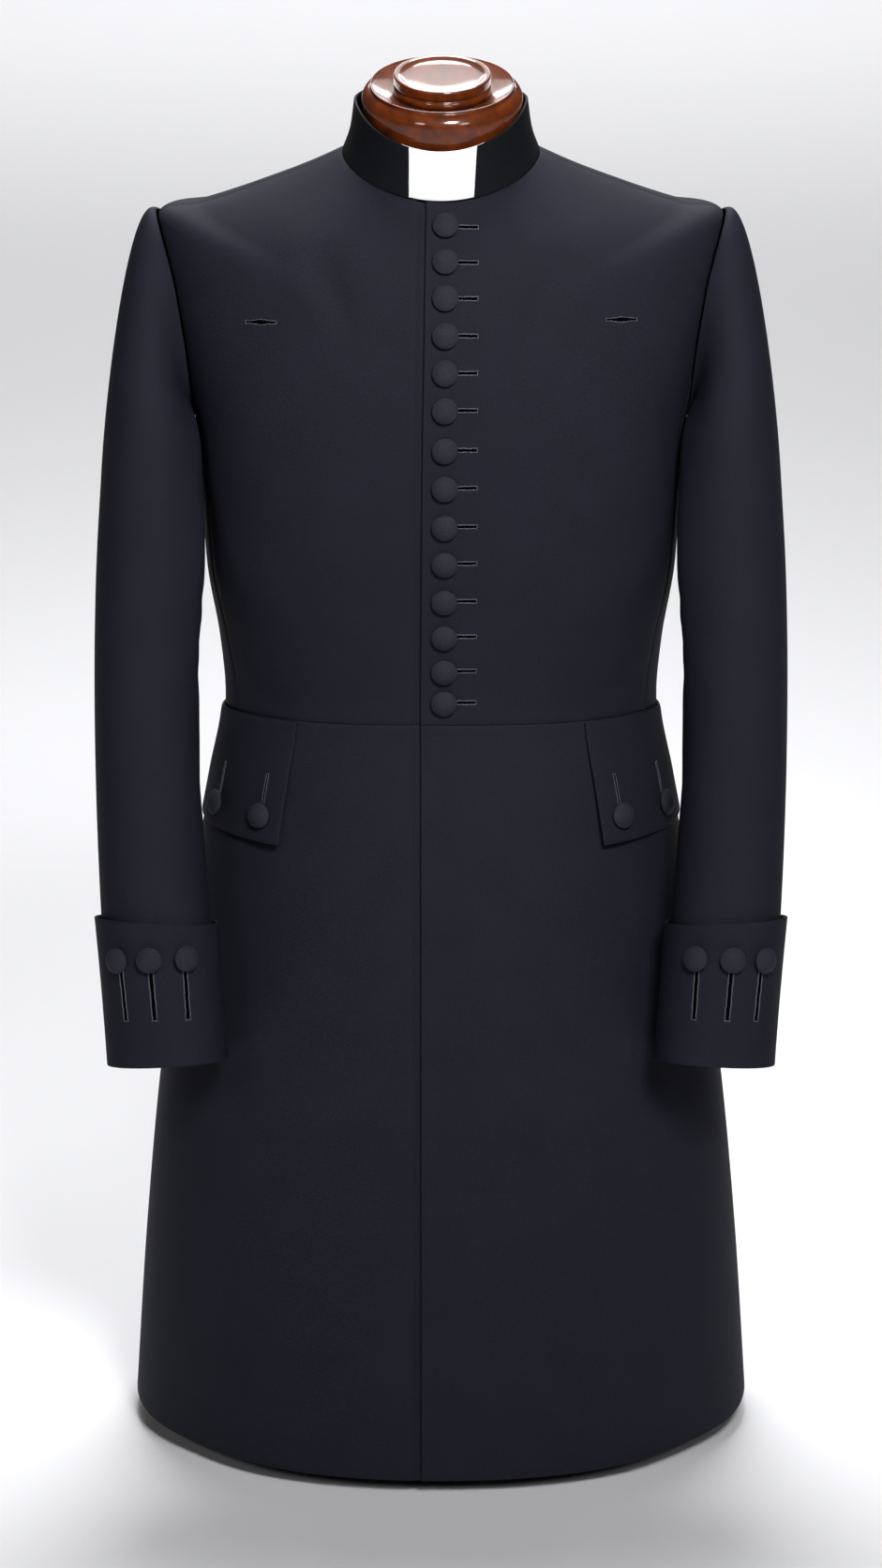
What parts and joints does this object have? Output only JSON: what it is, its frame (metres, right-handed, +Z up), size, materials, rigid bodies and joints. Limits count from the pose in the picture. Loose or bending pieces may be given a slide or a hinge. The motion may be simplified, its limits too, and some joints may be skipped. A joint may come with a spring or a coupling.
{
  "type": "clerical frock coat on a limbless dress form",
  "caption": "Knee-length black wool clerical frock coat with a stand collar and white tab, buttoned down the chest, on a limbless dress form with a turned wooden neck cap.",
  "frame": {"origin": "middle of the dress form's base, on the surface that it stands on", "axes": "+Z up the stand, the coat's front faces -Y, the wearer's left is +X"},
  "size_m": [0.5574, 0.4027, 1.1425],
  "materials": {
    "black_wool": "matt, finely twilled wool",
    "collar_wool": "matt, close black wool",
    "button_wool": "matt, cloth-covered",
    "white_linen": "smooth, starched",
    "form_canvas": "plain black canvas over a hard shell",
    "mahogany": "polished and lacquered",
    "stand_steel": "satin grey paint"
  },
  "bodies": {
    "root": {"front_left": "black_wool", "side_body_left": "black_wool", "back_left": "black_wool", "skirt_left": "black_wool", "sleeve_left": "black_wool", "cuff_left": "black_wool", "pocket_flap_left": "black_wool", "front_right": "black_wool", "side_body_right": "black_wool", "back_right": "black_wool", "skirt_right": "black_wool", "sleeve_right": "black_wool", "cuff_right": "black_wool", "pocket_flap_right": "black_wool", "collar": "collar_wool", "collar_tab": "white_linen", "front_button_01": "button_wool", "front_button_02": "button_wool", "front_button_03": "button_wool", "front_button_04": "button_wool", "front_button_05": "button_wool", "front_button_06": "button_wool", "front_button_07": "button_wool", "front_button_08": "button_wool", "front_button_09": "button_wool", "front_button_10": "button_wool", "front_button_11": "button_wool", "front_button_12": "button_wool", "front_button_13": "button_wool", "front_button_14": "button_wool", "flap_button_left_1": "button_wool", "flap_button_left_2": "button_wool", "cuff_button_left_1": "button_wool", "cuff_button_left_2": "button_wool", "cuff_button_left_3": "button_wool", "flap_button_right_1": "button_wool", "flap_button_right_2": "button_wool", "cuff_button_right_1": "button_wool", "cuff_button_right_2": "button_wool", "cuff_button_right_3": "button_wool", "form_torso": "form_canvas", "form_neck_cap": "mahogany", "form_cap_disc": "mahogany", "form_base": "stand_steel", "form_pole": "stand_steel"}
  },
  "joints": []
}
